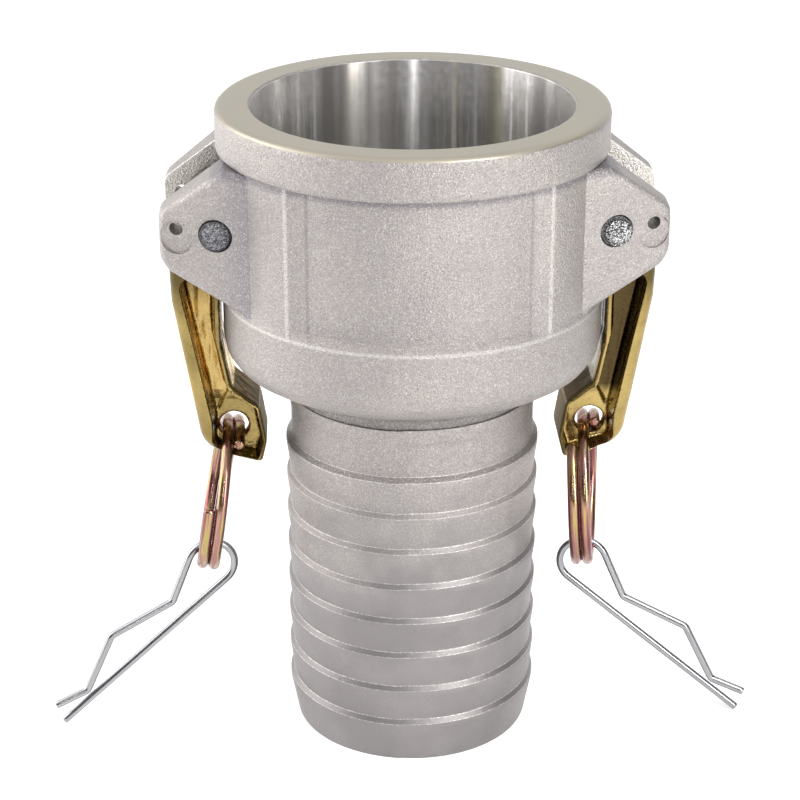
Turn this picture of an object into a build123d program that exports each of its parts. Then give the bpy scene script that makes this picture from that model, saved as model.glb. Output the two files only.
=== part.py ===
from build123d import *
from math import acos, atan2, cos, degrees, hypot, radians, sin, tan
import os

os.makedirs("parts", exist_ok=True)

# Frame: +Z is the bore axis upwards, Z = 0 is the plane of the two arm pivots, arms lie on X

# Cast body, outside
overall_height = 135.0
pivot_drop = 21.2
wall_thickness = 6.0
rim_proud = 1.0
rim_band = 8.4
rim_round = 1.3
panel_depth = 1.3
panel_half_width = 25.2
panel_side_run = 4.1
band_proud = 0.4
band_drop = 38.7
band_ledge = 1.9
shoulder_drop = 51.5
shoulder_round = 6.4
neck_drop = 57.0
neck_round = 2.0
neck_groove_depth = 0.15
collar_proud = 0.25
collar_drop = 59.5
collar_height = 3.0
edge_break = 0.5

# Hose shank with its barbs
shank_r = 25.05
shank_wall = 2.75
barb_height = 1.1
barb_root_height = 0.4
barb_count = 8
barb_pitch = 7.9
barb_rise = 0.95
barb_land = 1.0
first_barb_drop = 70.6
shank_end_step = 0.4

# Machined socket and waterway
bore_r = 31.9
mouth_break = 0.6
seat_drop = 46.9
throat_flare = 2.3
throat_length = 6.0
end_break = 0.5

# Gasket and its groove
gasket_rim_width = 1.45
gasket_width = 7.95
gasket_thickness = 6.35
gasket_round = 0.6
gasket_side_clearance = 0.25
gasket_top_clearance = 0.25

# Ears, cam slots and the arm pivots
pivot_offset = 6.7
ear_gap_half = 8.4
ear_reach = 11.0
ear_tip_half = 14.3
ear_flare_angle = 18.5
ear_root_depth = 1.9
ear_top_inset = 0.8
ear_tip_top = 3.6
ear_tip_top_round = 2.5
ear_tip_bottom = -5.9
ear_tip_bottom_round = 2.0
ear_corner_inset = 1.7
ear_corner_z = -8.3
ear_foot_inset = 4.9
ear_foot_z = -16.2
ear_round = 0.8
cam_slot_r = 10.4
safety_hole_r = 1.3
safety_hole_offset = 7.6
safety_hole_z = 0.6
spot_r = 3.4
spot_drop = 1.6
spot_depth = 0.45

# Pivot pins, pressed into the ears by their knurled ends
pin_r = 3.1
pin_knurl_r = 3.22
pin_knurl_count = 24
pin_half_length = 18.6
pin_chamfer = 0.5
pin_lead = 1.2
arm_running_clearance = 0.06

# Cam arms, drawn about the pivot with the handle hanging down
head_r = 6.7
nose_r = 3.6
nose_x = -5.9
nose_z = -0.9
heel_r = 4.6
heel_x = 5.5
heel_z = -6.2
arm_half_top = 7.6
arm_half_bottom = 6.3
arm_outer_top = (9.7, -18.0)
arm_outer_corner = (4.45, -50.4)
arm_outer_round = 6.0
arm_toe = (-7.5, -53.6)
arm_toe_round = 0.8
arm_sole = (-8.6, -49.0)
arm_sole_round = 2.0
arm_cheek = (-7.3, -41.2)
arm_cheek_round = 2.5
arm_knee = (-1.9, -36.6)
arm_knee_round = 2.0
arm_rest = (0.15, -26.0)
outer_flange = 2.9
inner_flange = 1.8
sole_flange = 1.2
toe_flange = 0.95
handle_web_half = 1.1
foot_web_half = 1.5
pocket_top_z = -13.4
pocket_round = 1.6
lip_low = (1.7, -43.8)
foot_pocket_x = 2.1
foot_pocket_round = 2.0
pocket_draft_angle = 7.0
arm_face_round = 1.2

# Split rings
ring_wire_r = 1.15
ring_r = 15.4
ring_coil_gap = 0.06
ring_hole_clearance = 0.67
ring_hole = (-1.8, -46.9)
ring_drop = 0.7
left_ring_lean_angle = 9.5
left_ring_twist_angle = 1.0
left_ring_end_angle = 26.5
left_ring_coil_count = 1.854
right_ring_lean_angle = 2.0
right_ring_twist_angle = 7.0
right_ring_end_angle = 328.0
right_ring_coil_count = 1.93

# Safety clips
clip_wire_r = 0.75
clip_loop_r = 5.05
clip_loop_clearance = 0.38
clip_leg = 46.7
clip_waist = (11.66, -0.74)
clip_crest = (26.07, 2.78)
clip_pinch = (38.3, -3.25)
clip_tip = (45.4, -1.0)
clip_bend_r = 1.7
clip_turn_angle = 13.6
left_clip_slope_angle = 38.8
left_clip_shift = 0.8
right_clip_slope_angle = 36.9
right_clip_shift = 0.0

# Radii, places and heights worked out from the sizes above
wall_r = bore_r + wall_thickness
panel_r = wall_r - panel_depth
rim_r = wall_r + rim_proud
band_r = wall_r + band_proud
neck_groove_r = shank_r - neck_groove_depth
collar_r = shank_r + collar_proud
barb_r = shank_r + barb_height
barb_root_r = shank_r + barb_root_height
shank_end_r = shank_r - shank_end_step
waterway_r = shank_r - shank_wall
seat_inner_r = waterway_r + throat_flare
gasket_outer_r = bore_r + gasket_rim_width
gasket_inner_r = gasket_outer_r - gasket_width
pivot_x = bore_r + pivot_offset
ear_tip_x = pivot_x + ear_reach
ear_corner_x = ear_tip_x - ear_corner_inset
ear_top_x = wall_r - ear_top_inset
ear_foot_x = wall_r - ear_foot_inset
ear_inner_x = bore_r - ear_root_depth
safety_hole_x = pivot_x + safety_hole_offset
top_z = pivot_drop
foot_z = top_z - overall_height
rim_under_z = top_z - rim_band
band_top_z = top_z - band_drop
shoulder_z = top_z - shoulder_drop
neck_z = top_z - neck_drop
collar_z = top_z - collar_drop
first_barb_z = top_z - first_barb_drop
seat_z = top_z - seat_drop
groove_top_z = seat_z + gasket_thickness + gasket_top_clearance


def corner(point):
    """The vertex of the sketch being drawn that lies nearest to the point."""
    return vertices().sort_by_distance((point[0], point[1], 0))[0]


def arm_plane():
    """The middle plane of the right arm, with its origin at the pivot."""
    return Plane(origin=(pivot_x, 0, 0), x_dir=(1, 0, 0), z_dir=(0, -1, 0))


def export_node(piece, name):
    """Label a finished piece and write it to a file of its own."""
    piece.label = name
    export_step(piece, f"parts/{name}.step")


def export_pair(piece, name):
    """Write the right piece as it is drawn, and its mirror image for the left side."""
    export_node(piece, f"{name}_right")
    export_node(mirror(piece, about=Plane.YZ), f"{name}_left")


# Ears: a planform that flares towards the body, trimmed to the side outline
flare = radians(ear_flare_angle)
ear_root_half = ear_tip_half + tan(flare) * (ear_tip_x - ear_inner_x)
with BuildPart() as ears:
    with BuildSketch(Plane.XY.offset(ear_foot_z)):
        Polygon(
            (ear_inner_x, ear_gap_half),
            (ear_tip_x, ear_gap_half),
            (ear_tip_x, ear_tip_half),
            (ear_inner_x, ear_root_half),
            align=None,
        )
    extrude(amount=rim_under_z - ear_foot_z)
    with BuildSketch(Plane.XZ):
        Polygon(
            (ear_inner_x, rim_under_z),
            (ear_top_x, rim_under_z),
            (ear_tip_x, ear_tip_top),
            (ear_tip_x, ear_tip_bottom),
            (ear_corner_x, ear_corner_z),
            (ear_foot_x, ear_foot_z),
            (ear_inner_x, ear_foot_z),
            align=None,
        )
        fillet(corner((ear_tip_x, ear_tip_top)), radius=ear_tip_top_round)
        fillet(corner((ear_tip_x, ear_tip_bottom)), radius=ear_tip_bottom_round)
    extrude(amount=-2 * ear_root_half, mode=Mode.INTERSECT)
    ear_outer_face = ears.faces().sort_by(Axis.Y)[-1]
    fillet(ear_outer_face.edges().filter_by(lambda edge: edge.center().X > wall_r), radius=ear_round)
    mirror(about=Plane.XZ)
    mirror(about=Plane.YZ)

# Recess panels on the front and back of the socket wall, each with a sloping sill
with BuildPart() as panels:
    with BuildSketch(Plane.XZ):
        Polygon(
            (panel_r, rim_under_z),
            (panel_r, band_top_z + band_ledge),
            (band_r + edge_break, band_top_z - edge_break),
            (rim_r + edge_break, band_top_z - edge_break),
            (rim_r + edge_break, rim_under_z),
            align=None,
        )
    revolve(axis=Axis.Z)
    with BuildSketch(Plane.XY.offset(rim_under_z)):
        inner_x = panel_half_width - panel_side_run
        inner_y = (panel_r**2 - inner_x**2) ** 0.5
        outer_y = (wall_r**2 - panel_half_width**2) ** 0.5
        Polygon(
            (inner_x, inner_y),
            (panel_half_width, outer_y),
            (panel_half_width, rim_r + edge_break),
            (-panel_half_width, rim_r + edge_break),
            (-panel_half_width, outer_y),
            (-inner_x, inner_y),
            align=None,
        )
    extrude(amount=-overall_height, mode=Mode.INTERSECT)
    mirror(about=Plane.XZ)

# Spot faces round the safety pin holes, sunk a little way into the flared faces of the ears
spot_plane = Plane(
    origin=(safety_hole_x, -ear_tip_half - tan(flare) * (ear_tip_x - safety_hole_x), safety_hole_z - spot_drop),
    x_dir=(cos(flare), sin(flare), 0),
    z_dir=(sin(flare), -cos(flare), 0),
)
with BuildPart() as spot_faces:
    with BuildSketch(spot_plane.offset(-spot_depth)):
        Circle(spot_r)
    extrude(amount=ear_tip_half)
    mirror(about=Plane.XZ)
    mirror(about=Plane.YZ)

# Coupler body: the casting turned up from its outline, then ears, panels and machined bores
barb_outline = []
for number in reversed(range(barb_count)):
    crest_z = first_barb_z - number * barb_pitch
    root_r = barb_root_r if number else shank_r
    barb_outline.append((barb_r, crest_z - barb_land))
    barb_outline.append((barb_r, crest_z))
    barb_outline.append((root_r, crest_z + barb_rise))

with BuildPart() as coupler_body:
    with BuildSketch(Plane.XZ):
        Polygon(
            (0, foot_z),
            (shank_end_r, foot_z),
            *barb_outline,
            (shank_r, collar_z - collar_height),
            (collar_r, collar_z - collar_height),
            (collar_r, collar_z),
            (neck_groove_r, collar_z),
            (neck_groove_r, neck_z),
            (band_r, shoulder_z),
            (band_r, band_top_z),
            (wall_r, band_top_z + band_ledge),
            (wall_r, rim_under_z),
            (rim_r, rim_under_z),
            (rim_r, top_z),
            (0, top_z),
            align=None,
        )
        fillet(corner((neck_groove_r, neck_z)), radius=neck_round)
        fillet(corner((band_r, shoulder_z)), radius=shoulder_round)
        fillet(corner((rim_r, rim_under_z)), radius=edge_break)
        fillet(corner((rim_r, top_z)), radius=rim_round)
    revolve(axis=Axis.Z)
    add(panels.part, mode=Mode.SUBTRACT)
    add(ears.part)
    with BuildSketch(Plane.XZ):
        Polygon(
            (0, foot_z),
            (waterway_r + end_break, foot_z),
            (waterway_r, foot_z + end_break),
            (waterway_r, seat_z - throat_length),
            (seat_inner_r, seat_z),
            (gasket_outer_r + gasket_side_clearance, seat_z),
            (gasket_outer_r + gasket_side_clearance, groove_top_z),
            (bore_r, groove_top_z),
            (bore_r, top_z - mouth_break),
            (bore_r + mouth_break, top_z),
            (0, top_z),
            align=None,
        )
    revolve(axis=Axis.Z, mode=Mode.SUBTRACT)
    with BuildSketch(Plane.XZ):
        with Locations((pivot_x, 0), (-pivot_x, 0)):
            Circle(cam_slot_r)
    extrude(amount=ear_gap_half, both=True, mode=Mode.SUBTRACT)
    with BuildSketch(Plane.XZ):
        with Locations((pivot_x, 0), (-pivot_x, 0)):
            Circle(pin_knurl_r)
        with Locations((safety_hole_x, safety_hole_z), (-safety_hole_x, safety_hole_z)):
            Circle(safety_hole_r)
    extrude(amount=ear_root_half, both=True, mode=Mode.SUBTRACT)
    add(spot_faces.part, mode=Mode.SUBTRACT)
export_node(coupler_body.part, "coupler_body")

# Gasket, seated in its groove under the socket
with BuildPart() as gasket:
    with BuildSketch(Plane.XZ):
        with Locations((gasket_inner_r, seat_z)):
            Rectangle(gasket_outer_r - gasket_inner_r, gasket_thickness, align=(Align.MIN, Align.MIN))
        fillet(vertices(), radius=gasket_round)
    revolve(axis=Axis.Z)
export_node(gasket.part, "gasket")

# Pivot pin: a plain journal for the arm between two knurled ends
with BuildPart() as pivot_pin:
    with BuildSketch(arm_plane()):
        Circle(pin_r)
    extrude(amount=pin_half_length, both=True)
    chamfer(pivot_pin.edges().filter_by(GeomType.CIRCLE), length=pin_chamfer)
    with BuildSketch(arm_plane().offset(ear_gap_half)):
        RegularPolygon(pin_knurl_r, side_count=pin_knurl_count)
    extrude(amount=pin_half_length - pin_lead - ear_gap_half)
    mirror(about=Plane.XZ)
export_pair(pivot_pin.part, "pivot_pin")

# Pockets of the cam arm: a deep one in the handle and a shallow one round the ring hole
handle_slope = (arm_outer_top[0] - arm_outer_corner[0]) / (arm_outer_top[1] - arm_outer_corner[1])
sole_slope = (arm_outer_corner[1] - arm_toe[1]) / (arm_outer_corner[0] - arm_toe[0])
pocket_inner_x = arm_rest[0] + inner_flange
pocket_outer_x = arm_outer_top[0] - outer_flange + (pocket_top_z - arm_outer_top[1]) * handle_slope
pocket_knee = (arm_knee[0] + inner_flange / 2, arm_knee[1] - inner_flange)
pocket_toe_x = arm_toe[0] + sole_flange
pocket_floor_z = arm_toe[1] + toe_flange
pocket_toe = (pocket_toe_x, pocket_floor_z + (pocket_toe_x - arm_toe[0]) * sole_slope)
pocket_corner = (foot_pocket_x, pocket_floor_z + (foot_pocket_x - arm_toe[0]) * sole_slope)
with BuildPart() as arm_pockets:
    with BuildSketch(arm_plane().offset(handle_web_half)):
        Polygon(
            (pocket_inner_x, pocket_top_z),
            (pocket_outer_x, pocket_top_z),
            lip_low,
            pocket_knee,
            (arm_knee[0] + inner_flange, arm_knee[1]),
            (pocket_inner_x, arm_rest[1]),
            align=None,
        )
        fillet(corner((pocket_inner_x, pocket_top_z)), radius=pocket_round)
        fillet(corner((pocket_outer_x, pocket_top_z)), radius=pocket_round)
    extrude(amount=arm_half_top, taper=-pocket_draft_angle)
    with BuildSketch(arm_plane().offset(foot_web_half)):
        Polygon(
            lip_low,
            pocket_corner,
            pocket_toe,
            (arm_sole[0] + sole_flange, arm_sole[1]),
            (arm_cheek[0] + sole_flange, arm_cheek[1] - sole_flange / 2),
            pocket_knee,
            align=None,
        )
        fillet(corner(pocket_corner), radius=foot_pocket_round)
    extrude(amount=arm_half_top, taper=-pocket_draft_angle)
    mirror(about=Plane.XZ)

# Cam arm: a forging with a cam nose, an I section handle and a thin foot for the ring
ring_pitch = 2 * ring_wire_r + ring_coil_gap
ring_hole_r = ring_wire_r + ring_pitch / 2 + ring_hole_clearance
with BuildPart() as cam_arm:
    with BuildSketch(arm_plane()):
        Circle(head_r)
        with Locations((nose_x, nose_z)):
            Circle(nose_r)
        with Locations((heel_x, heel_z)):
            Circle(heel_r)
        make_hull()
        Polygon(
            (heel_x + heel_r, heel_z),
            arm_outer_top,
            arm_outer_corner,
            arm_toe,
            arm_sole,
            arm_cheek,
            arm_knee,
            arm_rest,
            (arm_rest[0], heel_z),
            align=None,
        )
        fillet(corner(arm_outer_corner), radius=arm_outer_round)
        fillet(corner(arm_toe), radius=arm_toe_round)
        fillet(corner(arm_sole), radius=arm_sole_round)
        fillet(corner(arm_cheek), radius=arm_cheek_round)
        fillet(corner(arm_knee), radius=arm_knee_round)
    extrude(amount=arm_half_top, both=True)
    with BuildSketch(Plane.YZ.offset(bore_r - nose_r)):
        Polygon(
            (-arm_half_top, head_r + edge_break),
            (arm_half_top, head_r + edge_break),
            (arm_half_top, heel_z),
            (arm_half_bottom, arm_toe[1]),
            (-arm_half_bottom, arm_toe[1]),
            (-arm_half_top, heel_z),
            align=None,
        )
    extrude(amount=ear_tip_x - bore_r + 2 * nose_r, mode=Mode.INTERSECT)
    outer_x = pivot_x + arm_outer_corner[0]
    side_edges = cam_arm.edges().filter_by(lambda edge: abs(edge.center().Y) > arm_half_bottom - edge_break)
    outer_edges = side_edges.filter_by(lambda edge: edge.center().X > outer_x and edge.center().Z < heel_z)
    fillet(outer_edges, radius=arm_face_round)
    add(arm_pockets.part, mode=Mode.SUBTRACT)
    with BuildSketch(arm_plane()):
        Circle(pin_r + arm_running_clearance)
        with Locations(ring_hole):
            Circle(ring_hole_r)
    extrude(amount=arm_half_top, both=True, mode=Mode.SUBTRACT)
export_pair(cam_arm.part, "cam_arm")

# Split rings and safety clips: drawn for the right side, then mirrored for the left one
full_turn = 360.0
clip_inside_r = clip_loop_r - clip_wire_r - ring_wire_r - clip_loop_clearance
waist_angle = atan2(clip_waist[1], clip_waist[0]) + acos(clip_loop_r / hypot(*clip_waist))
clip_exit = (clip_loop_r * cos(waist_angle), clip_loop_r * sin(waist_angle))
left_ring = (left_ring_lean_angle, left_ring_twist_angle, left_ring_end_angle, left_ring_coil_count)
right_ring = (right_ring_lean_angle, right_ring_twist_angle, right_ring_end_angle, right_ring_coil_count)
left_clip = (left_clip_slope_angle, left_clip_shift)
right_clip = (right_clip_slope_angle, right_clip_shift)
for side, ring_set, clip_set in (("left", left_ring, left_clip), ("right", right_ring, right_clip)):
    lean_angle, twist_angle, end_angle, coil_count = ring_set
    slope_angle, side_shift = clip_set
    lean = radians(lean_angle)
    twist = radians(twist_angle)
    hang = Vector(sin(lean), 0, -cos(lean))
    ring_axis = Vector(cos(lean), 0, sin(lean)) * cos(twist) - Vector(0, sin(twist), 0)
    hole_centre = Vector(pivot_x + ring_hole[0], 0, ring_hole[1])
    ring_centre = hole_centre + hang * (ring_drop + ring_r)
    turn_sense = 1 if side == "right" else -1
    coils_before_top = end_angle / full_turn
    coils_before_foot = (end_angle + full_turn / 2) % full_turn / full_turn
    ring_plane = Plane(
        origin=ring_centre - ring_axis * (coils_before_top * ring_pitch + ring_pitch / 2),
        x_dir=(-hang).rotate(Axis((0, 0, 0), ring_axis), -turn_sense * end_angle),
        z_dir=ring_axis,
    )
    with BuildPart() as split_ring:
        with BuildLine() as coil:
            Helix(
                pitch=ring_pitch,
                height=ring_pitch * coil_count,
                radius=ring_r,
                lefthand=turn_sense < 0,
            )
        with BuildSketch(Plane(origin=coil.line @ 0, z_dir=coil.line % 0)):
            Circle(ring_wire_r)
        sweep(path=coil.line, is_frenet=True)
    hung_ring = ring_plane.location * split_ring.part
    export_node(mirror(hung_ring, about=Plane.YZ) if side == "left" else hung_ring, f"split_ring_{side}")

    foot_shift = (coils_before_foot - coils_before_top) * ring_pitch - side_shift
    clip_seat = (clip_inside_r**2 - (ring_pitch / 2 + side_shift) ** 2) ** 0.5
    slope = radians(slope_angle)
    turn = radians(clip_turn_angle)
    clip_plane = Plane(
        origin=ring_centre + hang * (ring_r + clip_seat) + ring_axis * foot_shift,
        x_dir=(cos(slope) * cos(turn), -cos(slope) * sin(turn), -sin(slope)),
        z_dir=(-sin(turn), -cos(turn), 0),
    )
    with BuildPart() as safety_clip:
        with BuildLine(clip_plane) as wire_path:
            Line((clip_leg, -clip_loop_r), (0, -clip_loop_r))
            CenterArc((0, 0), clip_loop_r, -90, degrees(waist_angle) - 270)
            FilletPolyline(clip_exit, clip_waist, clip_crest, clip_pinch, clip_tip, radius=clip_bend_r)
        with BuildSketch(Plane(origin=wire_path.line @ 0, z_dir=wire_path.line % 0)):
            Circle(clip_wire_r)
        sweep(path=wire_path.line)
        if side == "left":
            mirror(about=Plane.YZ, mode=Mode.REPLACE)
    export_node(safety_clip.part, f"safety_clip_{side}")
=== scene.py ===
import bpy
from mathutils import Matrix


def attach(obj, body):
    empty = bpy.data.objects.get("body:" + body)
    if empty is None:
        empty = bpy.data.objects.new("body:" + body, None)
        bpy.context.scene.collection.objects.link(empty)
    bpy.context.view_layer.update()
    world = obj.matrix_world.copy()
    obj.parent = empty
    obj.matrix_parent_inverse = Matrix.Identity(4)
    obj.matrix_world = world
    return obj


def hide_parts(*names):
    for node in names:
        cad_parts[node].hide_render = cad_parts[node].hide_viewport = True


bl_info = {
    "name": "Cam and Groove Coupler",
    "version": (1, 0, 0),
    "blender": (4, 5, 0),
    "location": "3D View > Sidebar > Coupler",
    "description": "Dresses the packed cam and groove coupler and sets it on a pale studio floor",
    "category": "Add Mesh",
}

from math import acos, asin, atan2, cos, hypot, pi, radians, sin, tan

import bpy
import numpy as np
from bpy.props import FloatProperty, FloatVectorProperty, IntProperty, PointerProperty
from mathutils import Matrix, Vector

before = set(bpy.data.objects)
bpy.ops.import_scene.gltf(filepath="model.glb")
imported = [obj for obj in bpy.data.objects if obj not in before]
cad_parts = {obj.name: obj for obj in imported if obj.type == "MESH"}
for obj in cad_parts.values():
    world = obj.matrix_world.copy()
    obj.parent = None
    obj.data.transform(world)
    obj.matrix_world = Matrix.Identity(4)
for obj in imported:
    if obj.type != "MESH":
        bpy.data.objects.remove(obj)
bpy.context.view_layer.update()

MM = 0.001
FULL_TURN = 2 * pi
WHITE = (1, 1, 1)
# Zones of the casting: the fourth is barb edges with wear and painted highlights, the fifth is painted shade in the
# neck's groove.
CAST, TURNED, BORED, WORN_AND_HIGHLIT, NECK_SHADE, LEDGE = range(6)


def length(label, millimetres, about):
    """A length property, given in millimetres and kept in metres."""
    return FloatProperty(
        name=label, description=about, default=millimetres * MM, subtype="DISTANCE", unit="LENGTH", precision=5
    )


def angle(label, degrees, about):
    """An angle property, given in degrees and kept in radians."""
    return FloatProperty(name=label, description=about, default=radians(degrees), subtype="ANGLE", unit="ROTATION")


def colour(label, value, about):
    """A linear colour property."""
    return FloatVectorProperty(name=label, description=about, default=value, subtype="COLOR", size=3, min=0, max=1)


class CouplerBodySizes(bpy.types.PropertyGroup):
    """Sizes of the cast body, its ears and its machined bores."""

    top: length("Top", 21.2, "Height of the rim above the pivots")
    foot: length("Foot", 113.8, "Depth of the shank's end below the pivots")
    rim_radius: length("Rim radius", 38.88, "Outer radius of the rim")
    rim_band: length("Rim band", 8.4, "Height of the rim")
    rim_round: length("Rim rounding", 1.3, "Rounding of the rim's outer top edge")
    wall_radius: length("Wall radius", 37.9, "Outer radius of the socket wall")
    panel_depth: length("Panel depth", 1.3, "Depth of the recessed panels")
    panel_half: length("Panel half width", 25.2, "Half the width of a recessed panel")
    panel_run: length("Panel side", 4.1, "Width of the sloping strip beside a panel")
    panel_rise: length("Panel side rise", 1.6, "How far the sloping strip comes forward")
    band_radius: length("Band radius", 38.3, "Outer radius of the lower band")
    band_top: length("Band top", -17.5, "Height of the lower band's top")
    band_ledge: length("Band ledge", 1.9, "Height of the slope above the band")
    shoulder: length("Shoulder", -30.3, "Height of the shoulder's corner")
    neck: length("Neck", -35.8, "Height of the neck")
    neck_radius: length("Neck radius", 24.9, "Radius in the neck's groove")
    collar: length("Collar", -38.3, "Height of the collar's top")
    collar_height: length("Collar height", 3.0, "Height of the collar")
    collar_radius: length("Collar radius", 25.3, "Radius of the collar")
    shank_radius: length("Shank radius", 25.05, "Radius of the plain shank")
    barb_radius: length("Barb radius", 26.15, "Radius of the barb crests")
    barb_root: length("Barb root", 25.45, "Radius at the foot of each barb")
    barb_pitch: length("Barb pitch", 7.9, "Distance from barb to barb")
    barb_rise: length("Barb rise", 0.95, "Height of the slope above a crest")
    barb_land: length("Barb land", 1.0, "Width of the flat on a crest")
    first_barb: length("First barb", -49.4, "Height of the top barb's crest")
    barbs: IntProperty(name="Barbs", description="Number of barbs on the shank", default=8, min=1)
    end_radius: length("End radius", 24.65, "Radius of the shank's end")
    bore_radius: length("Bore radius", 31.9, "Radius of the machined socket")
    seat: length("Seat", -25.7, "Height of the gasket's seat")
    groove_top: length("Groove top", -19.1, "Height of the gasket groove's top")
    groove_radius: length("Groove radius", 33.6, "Radius of the gasket groove")
    throat_radius: length("Throat radius", 24.6, "Radius where the throat starts")
    throat: length("Throat", -31.7, "Height where the throat ends")
    waterway_radius: length("Waterway radius", 22.3, "Radius of the waterway")
    pivot_x: length("Pivot", 38.6, "Distance of the arm pivots from the bore's axis")
    ear_gap: length("Ear gap", 8.4, "Half the gap between a pair of ears")
    ear_tip: length("Ear tip", 49.6, "Reach of the ears")
    ear_tip_half: length("Ear tip half", 14.3, "Half the width over a pair of ears at the tip")
    ear_flare: angle("Ear flare", 18.5, "Angle at which the ears widen towards the body")
    ear_round: length("Ear rounding", 1.4, "Rounding of the ears' outer edges")
    slot_radius: length("Slot radius", 10.4, "Radius of the cam slots")
    clip_hole_radius: length("Clip hole", 1.3, "Radius of the holes for the safety clips")
    clip_hole_x: length("Clip hole x", 46.2, "Distance of the clip holes from the bore's axis")
    clip_hole_z: length("Clip hole z", 0.6, "Height of the clip holes")
    spot_radius: length("Spot radius", 3.4, "Radius of the spot faces")
    spot_drop: length("Spot drop", 1.6, "How far the spot faces lie below the holes")
    spot_depth: length("Spot depth", 0.45, "Depth of the spot faces")


class PinSizes(bpy.types.PropertyGroup):
    """Sizes of the pivot pins."""

    radius: length("Radius", 3.1, "Radius of the plain pin")
    pivot_x: length("Pivot", 38.6, "Distance of the pins from the bore's axis")
    knurl_radius: length("Knurl radius", 3.2, "Radius over the knurl's teeth")
    teeth: IntProperty(name="Teeth", description="Teeth round the knurl", default=24, min=6)
    half_length: length("Half length", 18.6, "Half the pin's length")
    dome_radius: length("Dome radius", 2.6, "Radius of the right pin's peened dome")
    dome_shift: length("Dome shift", 0.42, "How far that dome has spread off the axis")


class ArmSizes(bpy.types.PropertyGroup):
    """Sizes of the cam arms, about the pivot."""

    pivot_x: length("Pivot", 38.6, "Distance of the arm pivots from the bore's axis")
    half_top: length("Half width", 7.6, "Half the arm's width at its head")
    half_bottom: length("Half width at the toe", 6.3, "Half the arm's width at its toe")
    heel: length("Heel", -6.2, "Height where the arm starts to taper")
    toe: length("Toe", -53.6, "Height of the arm's toe")
    flange: length("Outer flange", 2.9, "Width of the handle's outer flange")
    edge_round: length("Edge rounding", 2.6, "Rounding of the handle's outer edges")
    web_half: length("Web", 1.1, "Half the thickness of the handle's web")


class RingSizes(bpy.types.PropertyGroup):
    """Sizes of the split rings."""

    wire: length("Wire radius", 1.15, "Radius of the ring's wire")
    radius: length("Ring radius", 15.4, "Radius of the wire's centre line")
    pitch: length("Pitch", 2.36, "Distance from coil to coil")
    hole_x: length("Hole x", 36.8, "Distance of the arm's ring hole from the bore's axis")
    hole_z: length("Hole z", -46.9, "Height of the arm's ring hole")
    drop: length("Drop", 0.7, "How far the wire sits below the hole's centre")
    left_lean: angle("Left lean", 9.5, "How far the left ring leans outwards")
    right_lean: angle("Right lean", 2.0, "How far the right ring leans outwards")
    left_twist: angle("Left twist", 1.0, "How far the left ring is turned about the vertical")
    right_twist: angle("Right twist", 7.0, "How far the right ring is turned about the vertical")
    left_turns: FloatProperty(name="Left turns", description="Turns of the left ring", default=1.854, min=1)
    right_turns: FloatProperty(name="Right turns", description="Turns of the right ring", default=1.93, min=1)
    left_end: angle("Left end", 26.5, "Where the left ring's wire starts, from its top")
    right_end: angle("Right end", 328.0, "Where the right ring's wire starts, from its top")


class ClipSizes(bpy.types.PropertyGroup):
    """Sizes of the safety clips."""

    wire: length("Wire radius", 0.75, "Radius of the clip's wire")
    loop: length("Loop radius", 5.05, "Radius of the loop's centre line")
    clearance: length("Loop clearance", 0.38, "Gap between the loop and the ring")
    leg: length("Leg", 46.7, "Length of the straight leg")
    bend: length("Bend radius", 1.7, "Radius of the bends")
    turn: angle("Turn", 13.6, "How far the clips are turned towards the front")
    left_slope: angle("Left slope", 38.8, "Slope of the left clip's straight leg")
    right_slope: angle("Right slope", 36.9, "Slope of the right clip's straight leg")
    left_shift: length("Left shift", 0.8, "How far the left clip's loop has slid towards the body")
    right_shift: length("Right shift", 0.0, "How far the right clip's loop has slid towards the body")


class Finishes(bpy.types.PropertyGroup):
    """Colours of the finishes."""

    casting: colour("Casting", (0.395, 0.367, 0.35), "Sand cast aluminium")
    casting_shade: colour("Casting shade", (0.345, 0.322, 0.314), "Smudged casting")
    # Also the painted shade under the rim and along the panels' inner corners.
    casting_pit_and_shade: colour("Casting pits", (0.19, 0.18, 0.195), "Pits of the casting's grain")
    casting_facet: colour("Casting facets", (0.93, 0.9, 0.88), "Bright facets of the casting's grain")
    shank: colour("Shank", (0.285, 0.27, 0.27), "Smoother casting of the shank")
    # Painted shade on the left ears next to their corners with the wall.
    ear_shade: colour("Ear shade", (0.25, 0.23, 0.26), "Dull casting beside the ears' corners")
    # Painted highlight: the faces in the ears' gap, the panels' outer edges and the band's top edge.
    painted_highlight: colour("Milled", (0.76, 0.735, 0.7), "Milled faces of the ears' gap")
    machined: colour("Machined", (0.42, 0.387, 0.322), "Machined rim")
    bore: colour("Bore", (0.8, 0.785, 0.77), "Turned socket wall")
    # Also the dark stripes of painted reflection in the bore.
    bore_shade: colour("Bore shade", (0.34, 0.33, 0.32), "Darker streaks of the socket wall")
    brass: colour("Brass", (0.22, 0.165, 0.062), "Forged brass")
    # Painted light: the left arm's web painted bright.
    crumpled_and_lit: colour("Crumpled brass", (0.42, 0.3, 0.115), "Bright crumpled web of the left arm")
    # Painted shade too: at the arms' heads, on their feet's inner sides and on the right arm's web; also fine random
    # spots of darkened brass.
    patina_and_shade: colour("Patina", (0.06, 0.042, 0.018), "Darkened brass in the hollows")
    zinc: colour("Zinc", (0.4, 0.405, 0.415), "Bright zinc on the clips")
    zinc_shade: colour("Zinc shade", (0.29, 0.295, 0.31), "Duller zinc on the clips")
    ring_rose: colour("Ring rose", (0.36, 0.2, 0.185), "Rose tint of the rings")
    ring_copper: colour("Ring copper", (0.27, 0.11, 0.085), "Copper tint of the rings")
    ring_gold: colour("Ring gold", (0.4, 0.34, 0.1), "Yellow tint of the rings")
    ring_plum: colour("Ring plum", (0.15, 0.05, 0.08), "Plum tint of the rings")
    steel: colour("Steel", (0.26, 0.26, 0.28), "Steel of the pivot pins")
    rubber: colour("Rubber", (0.018, 0.018, 0.019), "Nitrile rubber of the gasket")


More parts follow.
